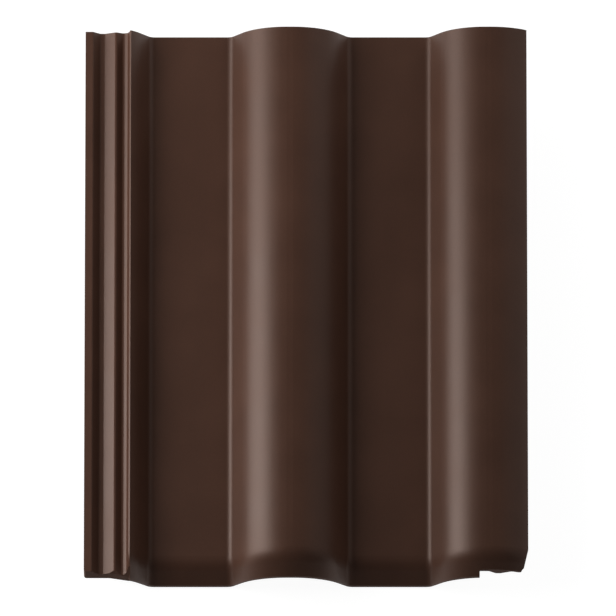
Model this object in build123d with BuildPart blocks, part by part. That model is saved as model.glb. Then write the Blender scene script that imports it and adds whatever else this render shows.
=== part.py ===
from build123d import *
import math
import os

# A concrete interlocking roof tile with two rolls, in millimetres.
# While it is shaped, X runs across the roof from the underlock to the overlock,
# Y up the slope from the front edge to the head, and Z = 0 is the underside of
# the flat troughs. At the end it is laid down as it rests on a level floor.

# Length up the slope, and the thickness of the troughs and rolls
length = 420
thickness = 12

# Rolls: distance between crests, size above the troughs, how far the last crest
# stands inside the right edge, and how much wider the step to the next tile is
pitch = 148.2
roll_height = 31
roll_half_width = 43.9
flank_angle = 57.5
crest_flat = 4.4
foot_radius = 6
crest_to_edge = 28.8
cover_gain = 1

# Turned-down nose along the front edge
nose_drop = 12.5
nose_slope = 37
nose_radius = 18
tip_radius = 2.5
front_lean = 18

# Weather lip and two weather bars that stand below the underside behind the nose
lip_drop = 3
lip_depth = 16
bar_width = 7
bar_1_start = 30
bar_2_start = 52

# Underlock along the left edge: a lip, two water channels and the rib between
# them, with heights above the weather face of the troughs. The first channel is
# placed from the outer edge, the rib and the second one from the wall beside them
underlock_width = 33.1
edge_lip_width = 5.8
edge_lip_height = 16
channel_1_centre = 12.7
channel_1_floor = 3.4
channel_1_height = 10.3
rib_to_wall = 10.3
rib_crest = 1.4
rib_height = 14.3
channel_2_to_wall = 4.6
channel_2_floor = 1.6
channel_2_height = 11.7
channel_2_rise = 1.3
channel_radius = 1.6
underlock_web = 8.3
wall_run = 1.5
wall_step = 3.9
wall_radius = 0.8
edge_arris = 1.4

# Front of the underlock: set back at the left, nearer the nose at the wall
underlock_setback = 3.4
wall_setback = 1.3
setback_run = 14
underlock_lean = 8
underlock_bevel = 3
underlock_corner = 2

# Overlock along the right edge, which covers the next tile's underlock
side_gap = 0.5
lock_clearance = 2.5
lock_play = 2.5
rib_reach = 1.5
overlock_reach = 3.5
overlock_setback = 5
overlock_lip = 3.2
lip_wall_run = 1
corner_taper = 3.8
corner_taper_length = 21
corner_radius = 2

# Nibs that hang the tile on its batten
nib_from_head = 22
nib_depth = 15
nib_width = 36
nib_length = 10
nib_side_draft = 3
nib_back = 8

# Positions that follow from the sizes above
cover_width = 2 * pitch + cover_gain
width = cover_width + underlock_width - side_gap
crest_3 = width - crest_to_edge
crest_2 = crest_3 - pitch
crest_1 = crest_2 - pitch
trough_centres = (crest_2 - pitch / 2, crest_2 + pitch / 2)
surface_top = thickness + roll_height
lock_start = cover_width - overlock_reach
beyond = width + length

# A roll's straight flanks meet its foot and its crown; the hollow below it is the
# same shape set in by the thickness
slope = math.tan(math.radians(flank_angle))
half_turn = math.tan(math.radians(flank_angle) / 2)
roll_half_crown = roll_half_width - roll_height / slope
crown_radius = (roll_half_crown - crest_flat / 2) / half_turn
hollow_half_width = roll_half_width - thickness * half_turn
hollow_half_crown = roll_half_crown - thickness * half_turn
hollow_radius = crown_radius - thickness
hollow_foot_radius = foot_radius + thickness / 2
rib_centre = underlock_width - rib_to_wall
channel_2_centre = underlock_width - channel_2_to_wall
underlock_base = thickness + channel_1_height - underlock_web
wall_foot = thickness + channel_2_height + channel_2_rise

# Height of the weather face where the last roll is cut off at the right edge
edge_run = crest_to_edge - crest_flat / 2
edge_top = surface_top - crown_radius + math.sqrt(crown_radius**2 - edge_run**2)

# The broken edge keeps clear of the line where the roll's crown ends
crown_end = crest_1 + crest_flat / 2 + crown_radius * math.sin(math.radians(flank_angle))
arris = min(edge_arris, abs(crown_end - underlock_width) / 2)

# The tile rests on the soles of its nibs and on its front lip
nib_face = length - nib_from_head
rest_slope = (nib_depth - lip_drop) / nib_face


def roll_line(crest, half_foot, half_crown, level):
    """Corners of one roll, left to right: foot, crown, crown, foot."""
    return [
        (crest - half_foot, level),
        (crest - half_crown, level + roll_height),
        (crest + half_crown, level + roll_height),
        (crest + half_foot, level),
    ]


def hollow_line(level):
    """Corners of the underside from the left edge to the last roll's crown."""
    base = level + underlock_base
    foot = crest_1 + hollow_half_width
    last_hollow = roll_line(crest_3, hollow_half_width, hollow_half_crown, level)
    return [
        (foot - underlock_base / slope - width, base),
        (foot - underlock_base / slope, base),
        (foot, level),
        *roll_line(crest_2, hollow_half_width, hollow_half_crown, level),
        *last_hollow[:3],
    ]


def lock_line(shift, rise, reach):
    """Corners of the underlock's top, from its lip to its second channel."""
    face = thickness + rise
    floor_1 = face + channel_1_height - reach
    return [
        (shift + edge_lip_width, face + edge_lip_height),
        (shift + channel_1_centre - channel_1_floor / 2, floor_1),
        (shift + channel_1_centre + channel_1_floor / 2, floor_1),
        (shift + rib_centre - rib_crest / 2, face + rib_height),
        (shift + rib_centre + rib_crest / 2, face + rib_height),
        (shift + channel_2_centre - channel_2_floor / 2, face + channel_2_height),
        (shift + channel_2_centre + channel_2_floor / 2, face + channel_2_height),
    ]


with BuildPart() as underlock_body:
    # Underlock along the left edge, with a sloping wall up to the weather face and
    # a root that runs in under the broken edge beside it
    root = underlock_width + edge_arris
    with BuildSketch(Plane.XZ):
        with BuildLine():
            channels = FilletPolyline(
                (0, thickness + edge_lip_height),
                *lock_line(0, 0, 0),
                (underlock_width - wall_run, wall_foot),
                (underlock_width, edge_top - wall_step),
                radius=7 * [channel_radius] + [wall_radius],
            )
            Polyline(
                channels @ 1,
                (root, edge_top - wall_step),
                (root, underlock_base),
                (0, underlock_base),
                channels @ 0,
            )
        make_face()
    extrude(amount=-length)

    # Its front leans back and is drawn back from the nose towards the left edge
    with BuildSketch(Plane.XY.offset(underlock_base)):
        with BuildLine():
            front = FilletPolyline(
                (0, 2 * setback_run),
                (0, underlock_setback),
                (underlock_width - setback_run, underlock_setback),
                (underlock_width, wall_setback),
                radius=[underlock_corner, setback_run],
            )
            Polyline(
                front @ 1,
                (beyond, wall_setback),
                (beyond, -beyond),
                (-beyond, -beyond),
                (-beyond, 2 * setback_run),
                front @ 0,
            )
        make_face()
    lean_back = (0, math.tan(math.radians(underlock_lean)), 1)
    extrude(amount=length, dir=lean_back, mode=Mode.SUBTRACT)

    # Bevel that carries the nose's slope across the rib and the second channel
    bevel_top = thickness + rib_height
    bevel_back = underlock_setback + underlock_bevel
    with BuildSketch(Plane.YZ.offset(channel_1_centre)):
        with BuildLine():
            Polyline(
                (bevel_back - length, bevel_top - length),
                (bevel_back + length, bevel_top + length),
                (bevel_back - length, bevel_top + length),
                close=True,
            )
        make_face()
    extrude(amount=beyond, mode=Mode.SUBTRACT)

with BuildPart() as tile_body:
    # Line of the weather face across the tile: the right half of the left
    # neighbour's last roll, then the two troughs and rolls
    with BuildLine(Plane.XZ) as weather_line:
        FilletPolyline(
            (crest_1, surface_top),
            (crest_1 + roll_half_crown, surface_top),
            (crest_1 + roll_half_width, thickness),
            *roll_line(crest_2, roll_half_width, roll_half_crown, thickness),
            *roll_line(crest_3, roll_half_width, roll_half_crown, thickness),
            (crest_3 + pitch, thickness),
            radius=[crown_radius, foot_radius]
            + 2 * [foot_radius, crown_radius, crown_radius, foot_radius],
        )

    # Lengthwise section with the rounded nose, carried along that line without
    # turning, so that the nose comes down alike on the rolls and in the troughs
    with BuildSketch(Plane((crest_1, 0, surface_top), (0, 1, 0), (1, 0, 0))):
        with BuildLine():
            tip = CenterArc(
                (tip_radius, -nose_drop),
                tip_radius,
                90 + nose_slope,
                90 + front_lean - nose_slope,
            )
            upper = tip @ 0
            lower = tip @ 1
            brow = upper.X - upper.Y / math.tan(math.radians(nose_slope))
            lean = math.tan(math.radians(front_lean))
            chin = lower.X + (lower.Y + surface_top) * lean
            FilletPolyline(upper, (brow, 0), (length, 0), radius=nose_radius)
            Polyline((length, 0), (length, -surface_top), (chin, -surface_top), lower)
        make_face()
    sweep(path=weather_line.line, normal=(1, 0, 0))

    # Plan outline, with the overlock's front set back and its corner drawn in
    with BuildSketch(Plane.XY.offset(-beyond)):
        with BuildLine():
            Polyline(
                (underlock_width, -1),
                (lock_start, -1),
                (lock_start, overlock_setback),
                (width - corner_taper, overlock_setback),
                (width, corner_taper_length),
                (width, length),
                (underlock_width, length),
                close=True,
            )
        make_face()
        fillet(vertices().group_by(Axis.Y)[0].sort_by(Axis.X)[-1], corner_radius)
        fillet(vertices().group_by(Axis.Y)[2].sort_by(Axis.X)[-1], corner_radius)
    extrude(amount=2 * beyond, mode=Mode.INTERSECT)

    # Broken edge of the weather face above the underlock
    left_edges = tile_body.faces().sort_by(Axis.X)[0].edges()
    long_edges = left_edges.sort_by(SortBy.LENGTH)[-2:]
    chamfer(long_edges.sort_by(Axis.Z)[-1], arris)

    # Underside: lowered over the whole length to leave the lip and the bars,
    # then taken up to the full thickness between them
    for level, start, end in (
        (-lip_drop, -1, length + 1),
        (0, lip_depth, bar_1_start),
        (0, bar_1_start + bar_width, bar_2_start),
        (0, bar_2_start + bar_width, length + 1),
    ):
        with BuildSketch(Plane.XZ.offset(-start)):
            with BuildLine():
                corners = hollow_line(level)
                hollow = FilletPolyline(
                    *corners,
                    radius=[foot_radius, hollow_foot_radius, hollow_foot_radius]
                    + [hollow_radius, hollow_radius]
                    + [hollow_foot_radius, hollow_foot_radius, hollow_radius],
                )
                Polyline(
                    hollow @ 1,
                    (corners[-1][0], -beyond),
                    (corners[0][0], -beyond),
                    hollow @ 0,
                )
            make_face()
            with Locations((lock_start, -beyond)):
                Rectangle(
                    beyond, 2 * beyond, align=(Align.MIN, Align.MIN), mode=Mode.SUBTRACT
                )
        extrude(amount=start - end, mode=Mode.SUBTRACT)

    # Underside of the overlock: the underlock's own line, one cover width along
    # and raised by the clearance, with a rib that reaches into its first channel,
    # then a thin outer lip over the channel's wall
    with BuildSketch(Plane.XZ.offset(1)):
        with BuildLine():
            corners = lock_line(cover_width - lock_play, lock_clearance, rib_reach)
            lip_level = edge_top - overlock_lip
            lock = FilletPolyline(
                (lock_start, corners[0][1]),
                *corners,
                (corners[-1][0] + lip_wall_run, lip_level),
                (beyond, lip_level),
                radius=6 * [channel_radius] + 2 * [wall_radius],
            )
            Polyline(lock @ 1, (beyond, -beyond), (lock_start, -beyond), lock @ 0)
        make_face()
    extrude(amount=-length - 2, mode=Mode.SUBTRACT)

    add(underlock_body.part)

    # Nibs under the head: upright on the side that hangs on the batten and drafted
    # at the ends, then cut at the sole to the plane it rests on and drafted behind
    sole_width = nib_width - 2 * nib_side_draft
    sole_end = nib_face + nib_length
    sole_level = -nib_depth - rest_slope * nib_length
    for trough in trough_centres:
        with BuildSketch(Plane.XZ.offset(-nib_face)):
            with BuildLine():
                Polyline(
                    (trough - nib_width / 2, thickness / 4),
                    (trough + nib_width / 2, thickness / 4),
                    (trough + sole_width / 2, sole_level),
                    (trough - sole_width / 2, sole_level),
                    close=True,
                )
            make_face()
        extrude(amount=-nib_length - nib_back)
    with BuildSketch(Plane.YZ):
        with BuildLine():
            Polyline(
                (nib_face, -nib_depth),
                (sole_end, sole_level),
                (sole_end + nib_back, 0),
                (sole_end + nib_back, -beyond),
                (nib_face, -beyond),
                close=True,
            )
        make_face()
    extrude(amount=width, mode=Mode.SUBTRACT)

# The tile laid down as it rests
laid = tile_body.part.rotate(Axis.X, math.degrees(math.atan(rest_slope)))
box = laid.bounding_box()
with BuildPart() as roof_tile:
    with Locations((-box.center().X, -box.center().Y, -box.min.Z)):
        add(laid)

roof_tile.part.label = "roof_tile"
os.makedirs("parts", exist_ok=True)
export_step(roof_tile.part, "parts/roof_tile.step")
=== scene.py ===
"""A concrete roof tile with two rolls, in its satin dark brown coating, and the studio
with a white floor that it is shown in. Sizes are in metres, in the tile's own frame:
X across the roof, Y up the slope and Z up, with the tile at rest on Z = 0."""

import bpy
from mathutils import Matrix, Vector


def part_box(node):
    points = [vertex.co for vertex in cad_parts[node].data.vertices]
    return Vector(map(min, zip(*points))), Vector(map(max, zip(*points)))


bl_info = {
    "name": "Double Roll Roof Tile",
    "version": (1, 0, 0),
    "blender": (4, 5, 0),
    "location": "View3D > Sidebar > Roof Tile",
    "description": "Finishes a concrete double roll roof tile and sets up its studio",
    "category": "Object",
}

import math

import bpy
from mathutils import Vector

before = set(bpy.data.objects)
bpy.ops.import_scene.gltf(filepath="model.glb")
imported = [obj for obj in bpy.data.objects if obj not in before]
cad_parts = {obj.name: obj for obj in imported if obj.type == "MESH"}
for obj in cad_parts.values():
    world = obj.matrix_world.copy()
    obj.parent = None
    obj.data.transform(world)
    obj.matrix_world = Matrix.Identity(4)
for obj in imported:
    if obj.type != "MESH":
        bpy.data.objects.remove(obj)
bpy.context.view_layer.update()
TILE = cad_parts["roof_tile"]
TILE_LOW, TILE_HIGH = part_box("roof_tile")

# Soft boxes round the tile: azimuth from the front towards the right edge and height
# above the floor in degrees, distance and side in metres, and strength, which lights
# the tile about alike from any distance
SOFT_BOXES = {
    "left_low": (270, 8, 1.0, 0.5, 0.41),
    "left_high": (270, 36, 1.0, 0.5, 0.63),
    "left_back": (240, 22, 1.0, 0.5, 0.256),
    "head_right": (150, 12, 1.6, 0.8, 0.507),
    "head_left": (210, 28, 1.6, 0.8, 0.32),
    "right_fill": (95, 32, 1.6, 1.8, 0.1),
}
FLOOR_REACH = 8.0  # from the tile to each edge of the floor
SENSOR_WIDTH = 36.0  # of the camera, in millimetres
CLIP_RANGE = (0.1, 50.0)  # nearest and farthest thing that the camera sees
WHITE = (1.0, 1.0, 1.0, 1.0)

# Reliefs of the sand grain and of the drag lines, in millimetres
COAT_RELIEF = (0.035, 0.014)
BARE_RELIEF = (0.14, 0.12)
PINHOLE_DEPTH = 0.5
MILLIMETRE = 0.001

# Sizes on bare concrete, as multiples of the grain size and of the line spacing
BARE_GRAIN = 1.3
BARE_LINES = 1.6
PINHOLE_SPACING = 7

LINE_STRETCH = 0.018  # of the noise along the drag lines
STREAK_FREQUENCY = 0.12  # of the broad streaks, as a share of the lines' own
CLOUD_SCALE = 22.0  # of the slow changes of tone, per metre
NO_PINHOLE = 0.75  # share of the cells that have none
PINHOLE_EDGE = (0.06, 0.2)  # wall of a pinhole, as a share of its cell

# Tone of the coating: clouds, with a share of the streaks and of the grains' shades
STREAK_TONE = 0.6
GRAIN_TONE = 0.25
COAT_TONES = (0.5, 1.35)
COAT_SHADES = (0.88, 1.14)
COAT_ROUGHNESS_SWING = 0.1

# Tone of the bare concrete: its paste, and the shades of its lightest and darkest sand
PASTE_TONES = (0.3, 0.7)
PASTE_SHADES = (0.8, 1.15)
LIGHT_GRAINS = (0.7, 1.0)
DARK_GRAINS = (0.0, 0.3)
LIGHT_SHARE = 0.4
DARK_SHARE = 0.45
DARK_SHADE = 0.4
BARE_ROUGHNESS_SWING = 0.08

# Limits of the coating. Each is a range over which a mask comes in or goes out, and
# the first six are ranges of one part of the normal: up, up the slope or across
WEATHER_SIDE = (0.05, 0.12)
THICK_COAT = (0.18, 0.34)
NOT_DOWNWARD = (-0.3, -0.2)
FRONT_FACE = (-0.45, -0.2)
HEAD_FACE = (0.6, 0.8)
SIDE_FACE = (0.7, 0.9)
NOSE_DEPTH = (0.02, 0.024)  # back from the front end
EDGE_DEPTH = (0.003, 0.002)  # in from the right or left edge
WALL_FOOT = (0.028, 0.032)  # above the floor
LIMIT_DRIFT = 0.1  # by which the limits up and across wander over a face
DRIFT_SCALE = 90.0  # of that wandering, per metre

FALLING = (1.0, 0.0)  # ends of a mask that goes out over its range

# Numbers of a Mix node's first, second and result sockets
MIX_SOCKETS = {"FLOAT": (2, 3, 0), "RGBA": (6, 7, 2)}


class TileFinish(bpy.types.PropertyGroup):
    """Colours and surface of the coated concrete."""

    coat_colour: bpy.props.FloatVectorProperty(
        name="Coating",
        description="Colour of the satin coating on the weather side",
        subtype="COLOR",
        size=3,
        min=0.0,
        max=1.0,
        default=(0.052, 0.0205, 0.0112),
    )
    sheen_colour: bpy.props.FloatVectorProperty(
        name="Highlights",
        description="Warm tint of the highlights on the pigmented surface",
        subtype="COLOR",
        size=3,
        min=0.0,
        max=1.0,
        default=(1.0, 0.8, 0.71),
    )
    coat_roughness: bpy.props.FloatProperty(
        name="Coating Roughness",
        description="Mean roughness of the coating",
        subtype="FACTOR",
        min=0.0,
        max=1.0,
        default=0.45,
    )
    concrete_colour: bpy.props.FloatVectorProperty(
        name="Bare Concrete",
        description="Colour of the pigmented concrete where it is not coated",
        subtype="COLOR",
        size=3,
        min=0.0,
        max=1.0,
        default=(0.085, 0.05, 0.034),
    )
    light_sand_colour: bpy.props.FloatVectorProperty(
        name="Light Sand",
        description="Colour of the lightest sand grains in the bare concrete",
        subtype="COLOR",
        size=3,
        min=0.0,
        max=1.0,
        default=(0.17, 0.12, 0.085),
    )
    concrete_roughness: bpy.props.FloatProperty(
        name="Concrete Roughness",
        description="Mean roughness of the bare concrete",
        subtype="FACTOR",
        min=0.0,
        max=1.0,
        default=0.96,
    )
    grain_size: bpy.props.FloatProperty(
        name="Sand Grain",
        description="Size of the sand grains that show through the coating",
        unit="LENGTH",
        min=0.0001,
        default=0.0009,
    )
    line_spacing: bpy.props.FloatProperty(
        name="Drag Lines",
        description="Spacing of the faint lines that the forming roller draws",
        unit="LENGTH",
        min=0.0005,
        default=0.003,
    )


class StageLook(bpy.types.PropertyGroup):
    """Camera, lights and floor of the studio."""

    camera_elevation: bpy.props.FloatProperty(
        name="Camera Elevation",
        description="Height of the view above the horizon",
        subtype="ANGLE",
        default=math.radians(74.265),
    )
    camera_distance: bpy.props.FloatProperty(
        name="Camera Distance",
        description="Distance from the camera to the tile",
        unit="LENGTH",
        default=11.422,
    )
    camera_lens: bpy.props.FloatProperty(
        name="Lens",
        description="Focal length of the camera, in millimetres",
        unit="CAMERA",
        default=894.9,
    )
    camera_aim: bpy.props.FloatVectorProperty(
        name="Camera Aim",
        description="Point of the tile in the middle of the picture",
        subtype="TRANSLATION",
        unit="LENGTH",
        size=3,
        default=(0.0015, -0.0015, 0.03),
    )
    floor_colour: bpy.props.FloatVectorProperty(
        name="Floor",
        description="Paint of the studio floor",
        subtype="COLOR",
        size=3,
        min=0.0,
        max=1.0,
        default=(0.8, 0.8, 0.8),
    )
    floor_white: bpy.props.FloatProperty(
        name="Floor White",
        description="White that the floor shows before the light on its paint is added",
        subtype="FACTOR",
        min=0.0,
        max=1.0,
        default=0.95,
    )
    floor_shadow: bpy.props.FloatProperty(
        name="Floor Shadow",
        description="Share of the light on its paint, with the tile's shadow, that shows",
        subtype="FACTOR",
        min=0.0,
        max=0.9,
        default=0.2,
    )
    light_level: bpy.props.FloatProperty(
        name="Light Level",
        description="Strength of all the soft boxes",
        min=0.0,
        default=1.0,
    )
    ambient_level: bpy.props.FloatProperty(
        name="Ambient Level",
        description="Strength of the even light from all round",
        min=0.0,
        default=0.11,
    )


def rgba(colour, share=1.0):
    """Colour with full alpha, made lighter or darker by a share."""
    return (*(Vector(colour) * share), 1.0)


def feed(tree, socket, value):
    """Link a socket to another one, or set it to a value."""
    if isinstance(value, bpy.types.NodeSocket):
        tree.links.new(value, socket)
    else:
        socket.default_value = value


def new_group(name, inputs, outputs):
    """Shader node group with those sockets, and its input and output nodes."""
    group = bpy.data.node_groups.new(name, "ShaderNodeTree")
    for title, kind, value in inputs:
        socket = group.interface.new_socket(
            name=title, in_out="INPUT", socket_type=kind
        )
        if value is not None:
            socket.default_value = value
    for title, kind in outputs:
        group.interface.new_socket(name=title, in_out="OUTPUT", socket_type=kind)
    return (
        group,
        group.nodes.new("NodeGroupInput").outputs,
        group.nodes.new("NodeGroupOutput").inputs,
    )


def place_group(tree, group, values):
    """Outputs of a group placed in a material, with its sockets linked or set."""
    node = tree.nodes.new("ShaderNodeGroup")
    node.node_tree = group
    node.label = group.name
    for name, value in values.items():
        feed(tree, node.inputs[name], value)
    return node.outputs


def math_node(tree, operation, *values):
    """Output of a Math node, whose inputs are sockets or numbers."""
    node = tree.nodes.new("ShaderNodeMath")
    node.operation = operation
    for socket, value in zip(node.inputs, values):
        feed(tree, socket, value)
    return node.outputs["Value"]


def ramp(tree, value, span, ends=(0.0, 1.0)):
    """Smooth step from one end to the other, while a value crosses the span."""
    node = tree.nodes.new("ShaderNodeMapRange")
    node.interpolation_type = "SMOOTHSTEP"
    tree.links.new(value, node.inputs["Value"])
    for name, number in zip(("From Min", "From Max", "To Min", "To Max"), (*span, *ends)):
        node.inputs[name].default_value = number
    return node.outputs["Result"]


def noise(tree, vector, scale, detail, rough=0.5):
    """Output of a Noise texture; scale is a socket or a number."""
    node = tree.nodes.new("ShaderNodeTexNoise")
    tree.links.new(vector, node.inputs["Vector"])
    feed(tree, node.inputs["Scale"], scale)
    node.inputs["Detail"].default_value = detail
    node.inputs["Roughness"].default_value = rough
    return node.outputs["Fac"]


def cells(tree, vector, scale):
    """Distance to the middle of each cell of a Voronoi texture, and two random values
    of the cell's own; scale is a socket or a number."""
    node = tree.nodes.new("ShaderNodeTexVoronoi")
    tree.links.new(vector, node.inputs["Vector"])
    feed(tree, node.inputs["Scale"], scale)
    random = tree.nodes.new("ShaderNodeSeparateColor")
    tree.links.new(node.outputs["Color"], random.inputs["Color"])
    return node.outputs["Distance"], random.outputs["Red"], random.outputs["Green"]


def mix(tree, kind, factor, first, second):
    """Mix of two numbers or of two colours, which are sockets or values."""
    node = tree.nodes.new("ShaderNodeMix")
    node.data_type = kind
    first_number, second_number, result_number = MIX_SOCKETS[kind]
    tree.links.new(factor, node.inputs["Factor"])
    feed(tree, node.inputs[first_number], first)
    feed(tree, node.inputs[second_number], second)
    return node.outputs[result_number]


def sand_grain_group():
    """Sand in the concrete: relief in millimetres and each grain's own shade."""
    group, given, result = new_group(
        "sand_grain",
        (
            ("Position", "NodeSocketVector", None),
            ("Grain Size", "NodeSocketFloat", 0.001),
            ("Relief", "NodeSocketFloat", 0.01),
        ),
        (("Height", "NodeSocketFloat"), ("Shade", "NodeSocketFloat")),
    )
    position = given["Position"]
    scale = math_node(group, "DIVIDE", 1.0, given["Grain Size"])
    rise = noise(group, position, scale, detail=1.0, rough=0.6)
    height = math_node(group, "MULTIPLY", rise, given["Relief"])
    shade = cells(group, position, scale)[2]
    group.links.new(height, result["Height"])
    group.links.new(shade, result["Shade"])
    return group


def drag_line_group():
    """Faint lines along the tile, drawn by the roller and slipper that form it: relief
    in millimetres, and broad streaks."""
    group, given, result = new_group(
        "drag_lines",
        (
            ("Position", "NodeSocketVector", None),
            ("Spacing", "NodeSocketFloat", 0.003),
            ("Relief", "NodeSocketFloat", 0.005),
        ),
        (("Height", "NodeSocketFloat"), ("Streak", "NodeSocketFloat")),
    )
    stretch = group.nodes.new("ShaderNodeVectorMath")
    stretch.operation = "MULTIPLY"
    group.links.new(given["Position"], stretch.inputs[0])
    stretch.inputs[1].default_value = (1.0, LINE_STRETCH, 1.0)
    stretched = stretch.outputs["Vector"]
    scale = math_node(group, "DIVIDE", 1.0, given["Spacing"])
    broad_scale = math_node(group, "MULTIPLY", scale, STREAK_FREQUENCY)
    lines = noise(group, stretched, scale, detail=1.0, rough=0.55)
    broad = noise(group, stretched, broad_scale, detail=1.0)
    height = math_node(group, "MULTIPLY", lines, given["Relief"])
    group.links.new(height, result["Height"])
    group.links.new(broad, result["Streak"])
    return group


def coat_cover_group():
    """Where the coating lies, and where it lies thick enough to be satin. It covers the
    weather side, the nose, the outer edges and the upright walls, and soaks into the
    faces that aren't turned up."""
    group, given, result = new_group(
        "coat_cover",
        (
            ("Position", "NodeSocketVector", None),
            ("Normal", "NodeSocketVector", None),
        ),
        (("Cover", "NodeSocketFloat"), ("Satin", "NodeSocketFloat")),
    )
    facing = group.nodes.new("ShaderNodeSeparateXYZ")
    group.links.new(given["Normal"], facing.inputs["Vector"])
    place = group.nodes.new("ShaderNodeSeparateXYZ")
    group.links.new(given["Position"], place.inputs["Vector"])
    drift = noise(group, given["Position"], DRIFT_SCALE, detail=1.0)
    drift = math_node(group, "MULTIPLY_ADD", drift, LIMIT_DRIFT, -LIMIT_DRIFT / 2)
    up = math_node(group, "ADD", facing.outputs["Z"], drift)
    outward = math_node(group, "ABSOLUTE", facing.outputs["X"])
    outward = math_node(group, "ADD", outward, drift)
    from_middle = math_node(group, "ABSOLUTE", place.outputs["X"])

    weather_side = ramp(group, up, WEATHER_SIDE)
    nose_end = [TILE_LOW[1] + depth for depth in NOSE_DEPTH]
    nose = math_node(
        group,
        "MULTIPLY",
        ramp(group, facing.outputs["Y"], FRONT_FACE, FALLING),
        ramp(group, place.outputs["Y"], nose_end, FALLING),
    )
    edge_start = [TILE_HIGH[0] - depth for depth in EDGE_DEPTH]
    edge = math_node(
        group,
        "MULTIPLY",
        ramp(group, outward, SIDE_FACE),
        ramp(group, from_middle, edge_start),
    )

    # The upright walls above the troughs, but not the cut face of the head
    upright = ramp(group, up, NOT_DOWNWARD)
    high = ramp(group, place.outputs["Z"], WALL_FOOT)
    not_head = ramp(group, facing.outputs["Y"], HEAD_FACE, FALLING)
    wall = math_node(group, "MULTIPLY", upright, high)
    wall = math_node(group, "MULTIPLY", wall, not_head)

    cover = weather_side
    for part in (nose, edge, wall):
        cover = math_node(group, "MAXIMUM", cover, part)
    group.links.new(cover, result["Cover"])
    group.links.new(ramp(group, up, THICK_COAT), result["Satin"])
    return group


def sand_and_lines(tree, groups, position, sizes, reliefs):
    """Shades of the sand grains, streaks of the drag lines, and the height of both."""
    sand, lines = groups
    grain = place_group(
        tree,
        sand,
        {"Position": position, "Grain Size": sizes[0], "Relief": reliefs[0]},
    )
    drawn = place_group(
        tree,
        lines,
        {"Position": position, "Spacing": sizes[1], "Relief": reliefs[1]},
    )
    height = math_node(tree, "ADD", grain["Height"], drawn["Height"])
    return grain["Shade"], drawn["Streak"], height


def pinholes(tree, position, spacing, depth):
    """Depth in millimetres of holes left by air, in about one cell in four."""
    distance, chance, _ = cells(tree, position, 1 / spacing)
    chosen = math_node(tree, "GREATER_THAN", chance, NO_PINHOLE)
    hole = ramp(tree, distance, PINHOLE_EDGE, (depth, 0.0))
    return math_node(tree, "MULTIPLY", chosen, hole)


def varied(tree, mean, swing, value):
    """Number that a value between 0 and 1 swings evenly round its mean."""
    return math_node(tree, "MULTIPLY_ADD", value, swing, mean - swing / 2)


def coated_concrete(look):
    """Dark brown coating over pigmented concrete, which is bare underneath."""
    material = bpy.data.materials.new("coated_concrete")
    material.use_nodes = True
    tree = material.node_tree
    shader = tree.nodes["Principled BSDF"]
    where = tree.nodes.new("ShaderNodeTexCoord").outputs
    position = where["Object"]
    coating = place_group(
        tree, coat_cover_group(), {"Position": position, "Normal": where["Normal"]}
    )
    groups = sand_grain_group(), drag_line_group()
    cloud = noise(tree, position, CLOUD_SCALE, detail=2.0, rough=0.6)

    # Coating: thin, so that the sand and the drag lines show through it faintly
    sizes = look.grain_size, look.line_spacing
    shade, streak, coat_height = sand_and_lines(
        tree, groups, position, sizes, COAT_RELIEF
    )
    streak = math_node(tree, "MULTIPLY", streak, STREAK_TONE)
    shade = math_node(tree, "MULTIPLY", shade, GRAIN_TONE)
    tone = math_node(tree, "ADD", math_node(tree, "ADD", cloud, streak), shade)
    dark, light = (rgba(look.coat_colour, share) for share in COAT_SHADES)
    coat = mix(tree, "RGBA", ramp(tree, tone, COAT_TONES), dark, light)
    coat_roughness = varied(tree, look.coat_roughness, COAT_ROUGHNESS_SWING, cloud)

    # Bare concrete: coarse sand in a pigmented paste, with pinholes
    sizes = look.grain_size * BARE_GRAIN, look.line_spacing * BARE_LINES
    shade, _, bare_height = sand_and_lines(tree, groups, position, sizes, BARE_RELIEF)
    spacing = look.grain_size * PINHOLE_SPACING
    holes = pinholes(tree, position, spacing, PINHOLE_DEPTH)
    bare_height = math_node(tree, "SUBTRACT", bare_height, holes)
    dark, light = (rgba(look.concrete_colour, share) for share in PASTE_SHADES)
    bare = mix(tree, "RGBA", ramp(tree, cloud, PASTE_TONES), dark, light)
    light_sand = ramp(tree, shade, LIGHT_GRAINS, (0.0, LIGHT_SHARE))
    dark_sand = ramp(tree, shade, DARK_GRAINS, (DARK_SHARE, 0.0))
    bare = mix(tree, "RGBA", light_sand, bare, rgba(look.light_sand_colour))
    bare = mix(tree, "RGBA", dark_sand, bare, rgba(look.concrete_colour, DARK_SHADE))
    bare_roughness = varied(tree, look.concrete_roughness, BARE_ROUGHNESS_SWING, shade)

    colour = mix(tree, "RGBA", coating["Cover"], bare, coat)
    roughness = mix(tree, "FLOAT", coating["Satin"], bare_roughness, coat_roughness)
    height = mix(tree, "FLOAT", coating["Satin"], bare_height, coat_height)
    bump = tree.nodes.new("ShaderNodeBump")
    bump.inputs["Distance"].default_value = MILLIMETRE
    tree.links.new(height, bump.inputs["Height"])
    tree.links.new(colour, shader.inputs["Base Color"])
    tree.links.new(roughness, shader.inputs["Roughness"])
    tree.links.new(bump.outputs["Normal"], shader.inputs["Normal"])
    shader.inputs["Specular Tint"].default_value = rgba(look.sheen_colour)
    return material


class OBJECT_OT_finish_tile(bpy.types.Operator):
    """Give the roof tile its coated concrete finish"""

    bl_idname = "object.finish_tile"
    bl_label = "Finish Roof Tile"
    bl_options = {"REGISTER", "UNDO"}

    def execute(self, context):
        TILE.data.materials.clear()
        TILE.data.materials.append(coated_concrete(context.scene.tile_finish))
        return {"FINISHED"}


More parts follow.
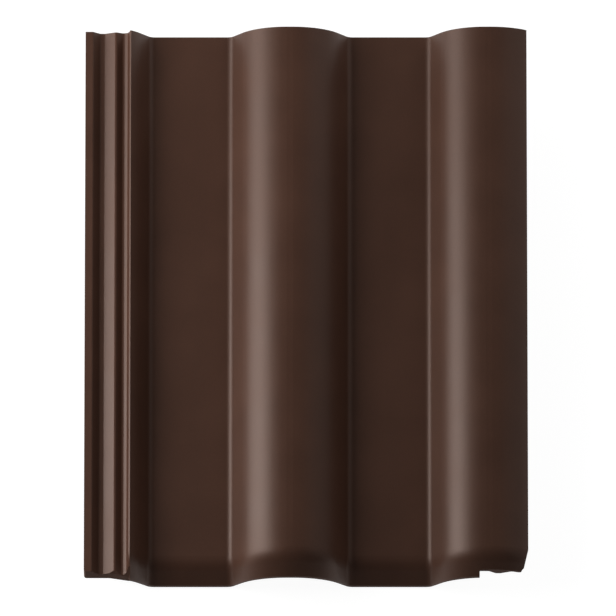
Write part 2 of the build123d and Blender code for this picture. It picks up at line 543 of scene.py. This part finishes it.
def add_facing(name, data, azimuth, height, distance, aim=(0.0, 0.0, 0.0)):
    """Lamp or camera in that direction from the aim, and turned to face it. Azimuth is
    from the front towards the right edge and height above the floor, in radians."""
    away = Vector(
        (
            math.sin(azimuth) * math.cos(height),
            -math.cos(azimuth) * math.cos(height),
            math.sin(height),
        )
    )
    item = bpy.data.objects.new(name, data)
    item.location = Vector(aim) + away * distance
    item.rotation_mode = "QUATERNION"
    item.rotation_quaternion = away.to_track_quat("Z", "Y")
    bpy.context.scene.collection.objects.link(item)
    return item


def seen_by(tree, *rays):
    """1 for the rays with those names, and 0 for all others."""
    path = tree.nodes.new("ShaderNodeLightPath").outputs
    seen = path[rays[0]]
    for ray in rays[1:]:
        seen = math_node(tree, "MAXIMUM", seen, path[ray])
    return seen


def floor_paint(look):
    """Matt paint that the camera sees as white, with the tile's shadow kept faint."""
    material = bpy.data.materials.new("floor_paint")
    material.use_nodes = True
    tree = material.node_tree
    paint = tree.nodes["Principled BSDF"]
    paint.inputs["Base Color"].default_value = rgba(look.floor_colour)
    paint.inputs["Roughness"].default_value = 1.0
    paint.inputs["Specular IOR Level"].default_value = 0.0
    glow = tree.nodes.new("ShaderNodeEmission")
    glow.inputs["Strength"].default_value = look.floor_white / (1 - look.floor_shadow)
    share = tree.nodes.new("ShaderNodeMixShader")
    share.inputs["Fac"].default_value = look.floor_shadow
    tree.links.new(glow.outputs["Emission"], share.inputs[1])
    tree.links.new(paint.outputs["BSDF"], share.inputs[2])
    choose = tree.nodes.new("ShaderNodeMixShader")
    seen = seen_by(tree, "Is Camera Ray", "Is Glossy Ray", "Is Transmission Ray")
    tree.links.new(seen, choose.inputs["Fac"])
    tree.links.new(paint.outputs["BSDF"], choose.inputs[1])
    tree.links.new(share.outputs["Shader"], choose.inputs[2])
    surface = tree.nodes["Material Output"].inputs["Surface"]
    tree.links.new(choose.outputs["Shader"], surface)
    return material


def add_floor(look):
    """Wide level floor that the tile lies on."""
    mesh = bpy.data.meshes.new("floor")
    corners = [
        (-FLOOR_REACH, -FLOOR_REACH, 0.0),
        (FLOOR_REACH, -FLOOR_REACH, 0.0),
        (FLOOR_REACH, FLOOR_REACH, 0.0),
        (-FLOOR_REACH, FLOOR_REACH, 0.0),
    ]
    mesh.from_pydata(corners, [], [(0, 1, 2, 3)])
    mesh.materials.append(floor_paint(look))
    floor = bpy.data.objects.new("floor", mesh)
    bpy.context.scene.collection.objects.link(floor)


def studio_world(look):
    """Even light from all round, and white where the camera looks past the floor."""
    world = bpy.data.worlds.new("studio")
    world.use_nodes = True
    tree = world.node_tree
    # The satin coating mirrors only the room's own soft light, since to mirror the
    # white as well would be more light on the tile
    seen = seen_by(tree, "Is Camera Ray", "Is Transmission Ray")
    strength = ramp(tree, seen, (0.0, 1.0), (look.ambient_level, 1.0))
    background = tree.nodes["Background"]
    background.inputs["Color"].default_value = WHITE
    tree.links.new(strength, background.inputs["Strength"])
    return world


class SCENE_OT_set_stage(bpy.types.Operator):
    """Make the floor, the world, the soft boxes and the camera"""

    bl_idname = "scene.set_stage"
    bl_label = "Set Stage"
    bl_options = {"REGISTER", "UNDO"}

    def execute(self, context):
        scene = context.scene
        look = scene.stage_look
        scene.view_settings.view_transform = "Standard"
        add_floor(look)
        scene.world = studio_world(look)

        for name, (azimuth, height, distance, side, strength) in SOFT_BOXES.items():
            lamp = bpy.data.lights.new(name, "AREA")
            lamp.size = side
            lamp.energy = strength * look.light_level * (math.pi * distance) ** 2
            add_facing(name, lamp, math.radians(azimuth), math.radians(height), distance)

        camera = bpy.data.cameras.new("camera")
        camera.lens = look.camera_lens
        camera.sensor_width = SENSOR_WIDTH
        camera.clip_start, camera.clip_end = CLIP_RANGE
        scene.camera = add_facing(
            "camera",
            camera,
            0.0,
            look.camera_elevation,
            look.camera_distance,
            look.camera_aim,
        )
        return {"FINISHED"}


class VIEW3D_PT_roof_tile(bpy.types.Panel):
    """Lists the tile's finish and its studio"""

    bl_label = "Roof Tile"
    bl_idname = "VIEW3D_PT_roof_tile"
    bl_space_type = "VIEW_3D"
    bl_region_type = "UI"
    bl_category = "Roof Tile"

    def draw(self, context):
        layout = self.layout
        for title, name, operator in (
            ("Tile", "tile_finish", OBJECT_OT_finish_tile),
            ("Studio", "stage_look", SCENE_OT_set_stage),
        ):
            box = layout.box()
            box.label(text=title)
            look = getattr(context.scene, name)
            for prop in type(look).__annotations__:
                box.prop(look, prop)
            box.operator(operator.bl_idname)


CLASSES = (
    TileFinish,
    StageLook,
    OBJECT_OT_finish_tile,
    SCENE_OT_set_stage,
    VIEW3D_PT_roof_tile,
)


def register():
    """Register the classes and the settings that they use."""
    for cls in CLASSES:
        bpy.utils.register_class(cls)
    bpy.types.Scene.tile_finish = bpy.props.PointerProperty(type=TileFinish)
    bpy.types.Scene.stage_look = bpy.props.PointerProperty(type=StageLook)


def unregister():
    """Take the settings and classes away again."""
    del bpy.types.Scene.stage_look
    del bpy.types.Scene.tile_finish
    for cls in reversed(CLASSES):
        bpy.utils.unregister_class(cls)


def main():
    """Register the classes, finish the tile and set the stage."""
    register()
    bpy.ops.object.finish_tile()
    bpy.ops.scene.set_stage()


if __name__ == "__main__":
    main()
